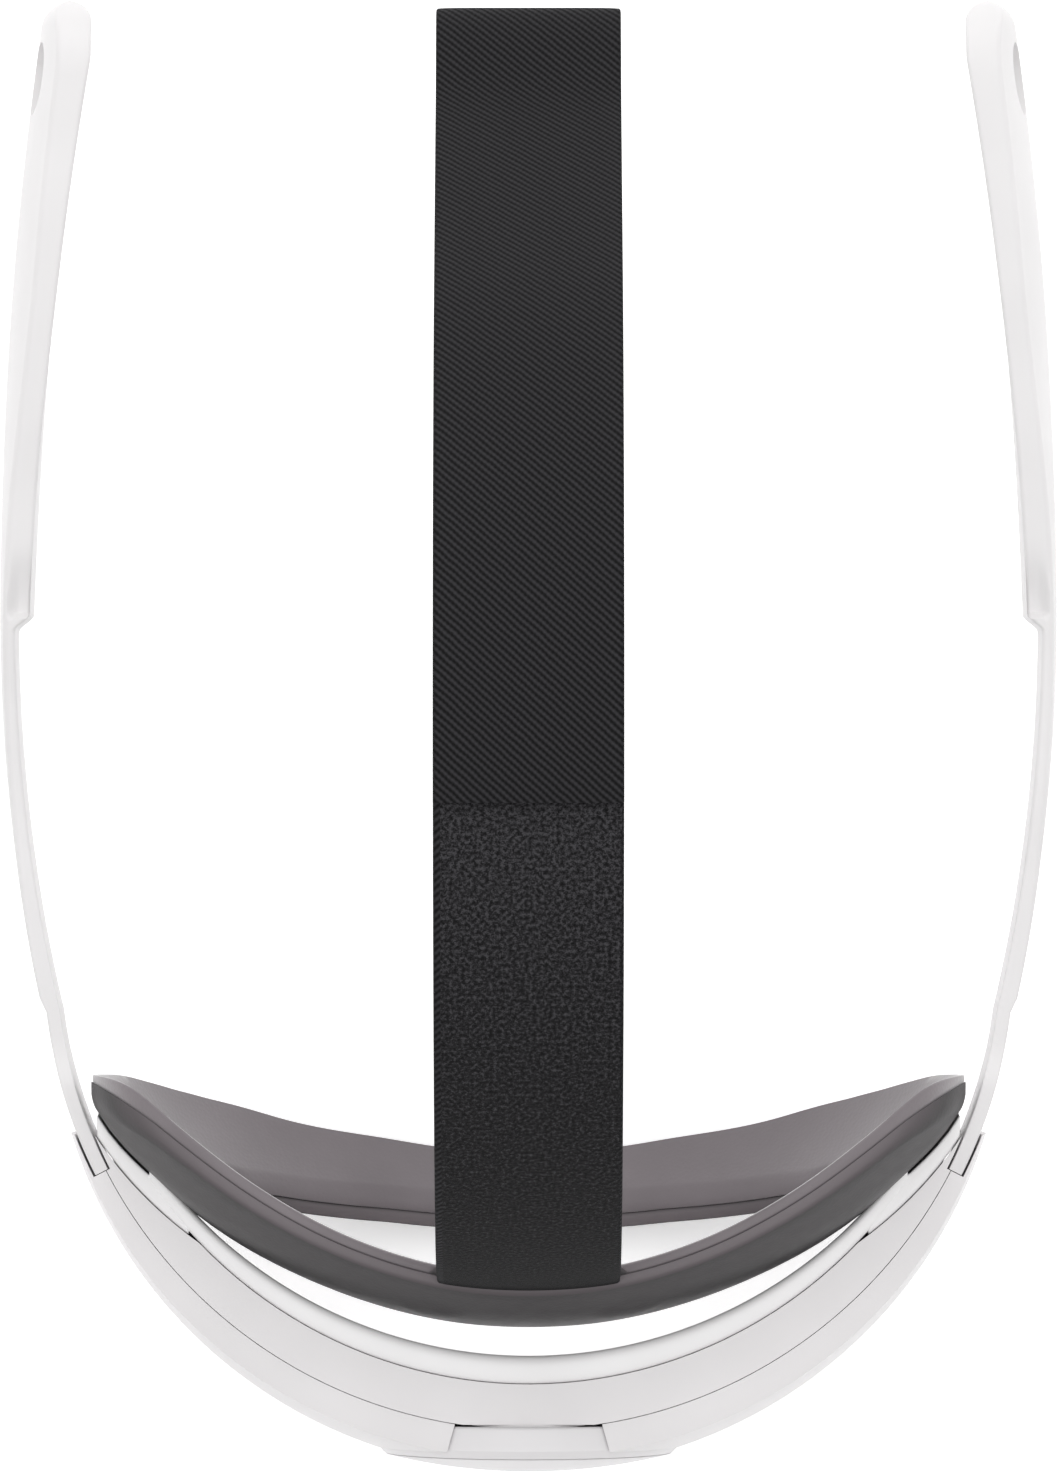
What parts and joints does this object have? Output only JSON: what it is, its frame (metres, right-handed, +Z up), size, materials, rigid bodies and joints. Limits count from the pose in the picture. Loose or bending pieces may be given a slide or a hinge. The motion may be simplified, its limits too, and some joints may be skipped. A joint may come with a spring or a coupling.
{
  "type": "vr headset head strap",
  "caption": "Adjustable head strap of a vr headset: rear fit wheel on a curved housing, sliding side arms, ring-shaped head cradle and a webbing top strap.",
  "frame": {"origin": "on the ground under the middle of the strap's overall length and width", "axes": "+Y forwards to the visor, +X to the wearer's right, +Z up"},
  "size_m": [0.188, 0.2614, 0.1767],
  "materials": {
    "white_shell": "satin moulded plastic, very fine grain",
    "white_liner": "soft-touch satin plastic",
    "wheel_plastic": "satin moulded plastic",
    "arm_plastic": "satin moulded plastic, slightly flexible",
    "dark_frame": "dark grey satin plastic",
    "cradle_rubber": "soft-touch grey elastomer",
    "webbing": "black twill webbing with brushed loop pile",
    "hook_tape": "black hook tape",
    "inner_plastic": "natural grey acetal",
    "rack_plastic": "natural acetal",
    "steel": "bright zinc plated steel",
    "bronze": "sintered bronze"
  },
  "bodies": {
    "rear_housing": {"mid_shell": "white_shell", "left_rear_cover": "white_shell", "right_rear_cover": "white_shell", "inner_liner": "white_liner", "rack_guide": "inner_plastic", "bearing_plate": "inner_plastic", "front_bush": "bronze", "rear_bush": "bronze", "plate_screws": "steel", "cover_screws": "steel", "cradle_screws": "steel", "detent_spring": "steel", "detent_screw": "steel", "cradle_frame": "dark_frame", "cradle_pad": "cradle_rubber", "strap_anchor_bar": "steel", "strap_tail": "webbing"},
    "fit_wheel": {"wheel_rim": "wheel_plastic", "wheel_cap": "wheel_plastic", "wheel_shaft": "steel", "pinion_gear": "rack_plastic", "wheel_screw": "steel", "detent_ring": "rack_plastic"},
    "top_strap": {"strap_band": "webbing", "hook_patch": "hook_tape"},
    "left_rack": {"left_tail": "arm_plastic", "left_rack_strip": "rack_plastic", "left_rack_rivets": "steel"},
    "left_arm": {"left_arm_band": "arm_plastic", "left_receiver": "arm_plastic"},
    "right_rack": {"right_tail": "arm_plastic", "right_rack_strip": "rack_plastic", "right_rack_rivets": "steel"},
    "right_arm": {"right_arm_band": "arm_plastic", "right_receiver": "arm_plastic"}
  },
  "joints": [
    {"name": "wheel_turn", "type": "hinge", "parent": "rear_housing", "child": "fit_wheel", "pos_m": [0, -0.1245, 0.034], "axis": [0, 1, 0], "range_deg": [-230, 0]},
    {"name": "left_rack_slide", "type": "hinge", "parent": "rear_housing", "child": "left_rack", "pos_m": [0, -0.0385, 0.034], "axis": [0, 0, 1], "range_deg": [-13.9, 0]},
    {"name": "right_rack_slide", "type": "hinge", "parent": "rear_housing", "child": "right_rack", "pos_m": [0, -0.0385, 0.034], "axis": [0, 0, 1], "range_deg": [0, 13.9]},
    {"name": "left_arm_flex", "type": "hinge", "parent": "left_rack", "child": "left_arm", "pos_m": [-0.08422, -0.04884, 0.034], "axis": [0, 0, 1], "range_deg": [0, 13.9]},
    {"name": "right_arm_flex", "type": "hinge", "parent": "right_rack", "child": "right_arm", "pos_m": [0.08422, -0.04884, 0.034], "axis": [0, 0, 1], "range_deg": [-13.9, 0]},
    {"name": "strap_swing", "type": "hinge", "parent": "rear_housing", "child": "top_strap", "pos_m": [0, -0.0957, 0.0727], "axis": [1, 0, 0], "range_deg": [-12, 35]}
  ],
  "couplings": [
    {"joint": "left_rack_slide", "follows": "wheel_turn", "ratio": 0.06035},
    {"joint": "right_rack_slide", "follows": "wheel_turn", "ratio": -0.06035},
    {"joint": "left_arm_flex", "follows": "wheel_turn", "ratio": -0.06035},
    {"joint": "right_arm_flex", "follows": "wheel_turn", "ratio": 0.06035}
  ]
}
